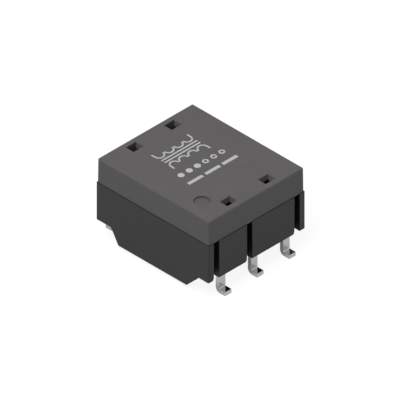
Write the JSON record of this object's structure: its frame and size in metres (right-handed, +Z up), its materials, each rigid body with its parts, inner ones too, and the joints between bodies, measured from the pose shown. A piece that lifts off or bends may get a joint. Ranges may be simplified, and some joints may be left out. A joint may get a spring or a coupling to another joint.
{
  "type": "pcb transformer",
  "caption": "Surface-mount signal transformer: wound ring core in a closed rectangular plastic case, with bent solder terminals in a row along each end.",
  "frame": {"origin": "centre of the footprint on the board, level with the undersides of the feet", "axes": "+X along the case towards the end with terminals 1 to 3, +Y across it from terminal 1 to terminal 3, +Z up from the board"},
  "size_m": [0.014, 0.0112, 0.0079],
  "materials": {
    "base_plastic": "black moulded polymer, fine matt texture",
    "cover_plastic": "dark grey moulded polymer, fine matt texture",
    "tinned_terminal": "matt tin plate on copper alloy strip",
    "ribbon_core": "tape-wound soft magnetic alloy",
    "core_case_plastic": "moulded polymer",
    "enamelled_wire": "enamelled copper",
    "divider_plastic": "punched polyester sheet",
    "silicone_adhesive": "cured silicone",
    "solder": "reflowed solder"
  },
  "bodies": {
    "root": {"base": "base_plastic", "cover": "cover_plastic", "ring_core": "ribbon_core", "core_case_trough": "core_case_plastic", "core_case_lid": "core_case_plastic", "primary_a": "enamelled_wire", "primary_b": "enamelled_wire", "secondary_a": "enamelled_wire", "secondary_b": "enamelled_wire", "winding_divider": "divider_plastic", "adhesive_bed": "silicone_adhesive", "terminal_1": "tinned_terminal", "solder_joint_1": "solder", "terminal_2": "tinned_terminal", "solder_joint_2": "solder", "terminal_3": "tinned_terminal", "solder_joint_3": "solder", "terminal_4": "tinned_terminal", "solder_joint_4": "solder", "terminal_5": "tinned_terminal", "solder_joint_5": "solder", "terminal_6": "tinned_terminal", "solder_joint_6": "solder"}
  },
  "joints": []
}
